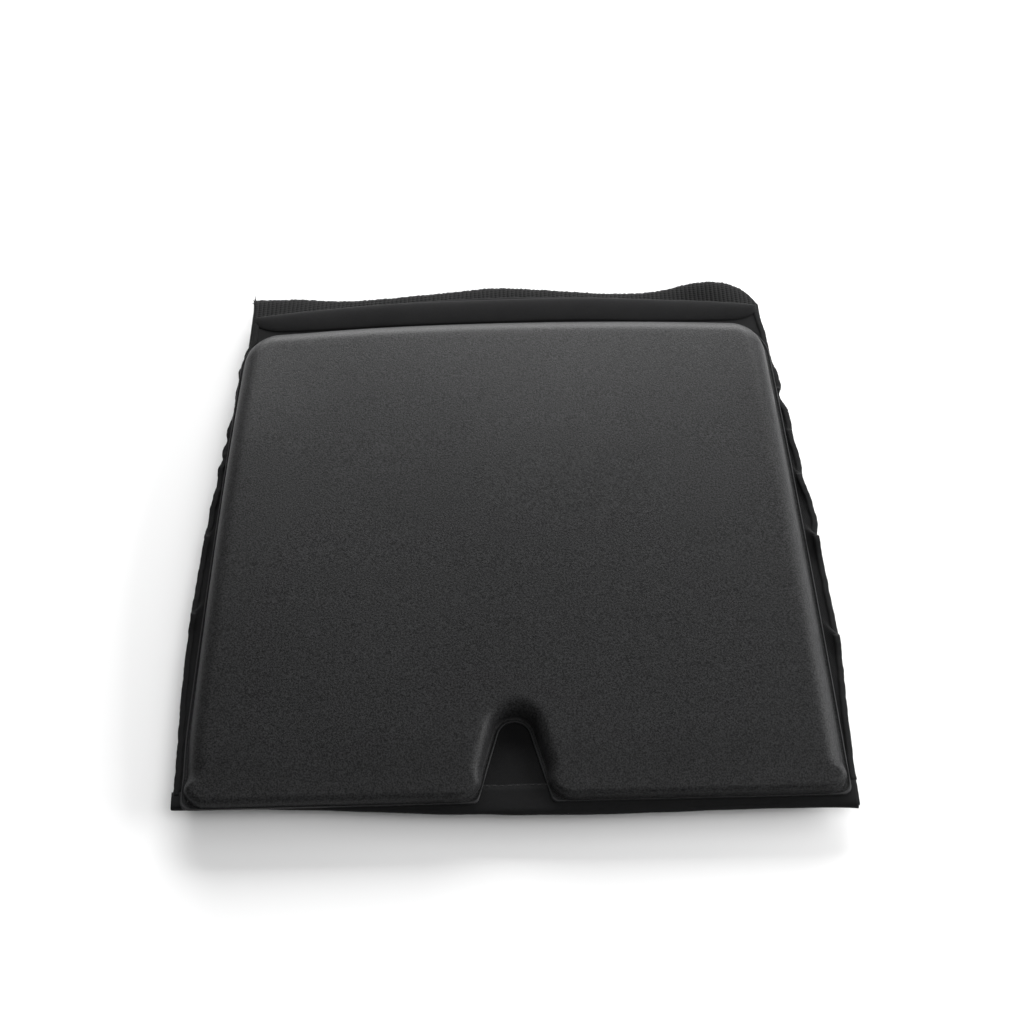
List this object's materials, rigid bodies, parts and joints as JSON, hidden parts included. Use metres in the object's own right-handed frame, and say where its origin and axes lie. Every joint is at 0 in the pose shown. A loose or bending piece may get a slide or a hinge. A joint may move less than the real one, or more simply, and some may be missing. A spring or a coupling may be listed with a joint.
{
  "type": "lower back protector belt",
  "caption": "Lower-back protector: a domed moulded pad with a tail notch, sewn to a ribbed elastic waist belt whose wings and closure tabs fold flat beneath it.",
  "frame": {"origin": "centre of the footprint, on the surface the folded belt rests on", "axes": "+X across the wearer's back, +Y up the spine with the tail notch at -Y, +Z out from the wearer through the pad"},
  "size_m": [0.304, 0.289, 0.0286],
  "materials": {
    "cover_knit": "fine-grain knit laminate, satin",
    "impact_foam": "closed-cell foam, matt",
    "hard_plastic": "moulded polypropylene, matt",
    "soft_foam": "open-cell foam, matt",
    "backing_cloth": "woven nylon, dull",
    "binding_tape": "folded woven tape, dull",
    "ribbed_elastic": "corded elastic with upright ribs",
    "spacer_mesh": "open spacer mesh",
    "stay_plastic": "flexible plastic stay",
    "hook_tape": "hook fastener face",
    "loop_tape": "loop pile face"
  },
  "bodies": {
    "back_section": {"outer_cover": "cover_knit", "foam_core": "impact_foam", "impact_plate": "hard_plastic", "comfort_pad": "soft_foam", "backing_panel": "backing_cloth", "lower_hem": "binding_tape", "top_hem": "binding_tape", "side_hem_left": "binding_tape", "side_hem_right": "binding_tape", "back_elastic": "ribbed_elastic", "lining_mesh": "spacer_mesh", "back_stay_left_outer": "stay_plastic", "back_stay_left_inner": "stay_plastic", "back_stay_right_inner": "stay_plastic", "back_stay_right_outer": "stay_plastic"},
    "left_wing": {"wing_elastic_left": "ribbed_elastic", "wing_binding_upper_left": "binding_tape", "wing_binding_lower_left": "binding_tape", "wing_stay_channel_left": "backing_cloth", "wing_stay_left": "stay_plastic"},
    "left_tab": {"tab_strap_left": "backing_cloth", "tab_binding_left": "binding_tape", "loop_field": "loop_tape"},
    "right_wing": {"wing_elastic_right": "ribbed_elastic", "wing_binding_upper_right": "binding_tape", "wing_binding_lower_right": "binding_tape", "wing_stay_channel_right": "backing_cloth", "wing_stay_right": "stay_plastic"},
    "right_tab": {"tab_strap_right": "backing_cloth", "tab_binding_right": "binding_tape", "hook_field": "hook_tape"}
  },
  "joints": [
    {"name": "left_wing_fold", "type": "hinge", "parent": "back_section", "child": "left_wing", "pos_m": [-0.1395, 0.00175, 0.0067], "axis": [0.0664, 0.9978, 0], "range_deg": [0, 178]},
    {"name": "left_tab_fold", "type": "hinge", "parent": "left_wing", "child": "left_tab", "pos_m": [-0.02176, -0.00609, 0.00265], "axis": [-0.0664, -0.9978, 0], "range_deg": [0, 95]},
    {"name": "right_wing_fold", "type": "hinge", "parent": "back_section", "child": "right_wing", "pos_m": [0.1395, 0.00175, 0.0067], "axis": [0.0664, -0.9978, 0], "range_deg": [0, 178]},
    {"name": "right_tab_fold", "type": "hinge", "parent": "right_wing", "child": "right_tab", "pos_m": [0.02176, -0.00609, 0.0033], "axis": [-0.0664, 0.9978, 0], "range_deg": [0, 95]}
  ]
}
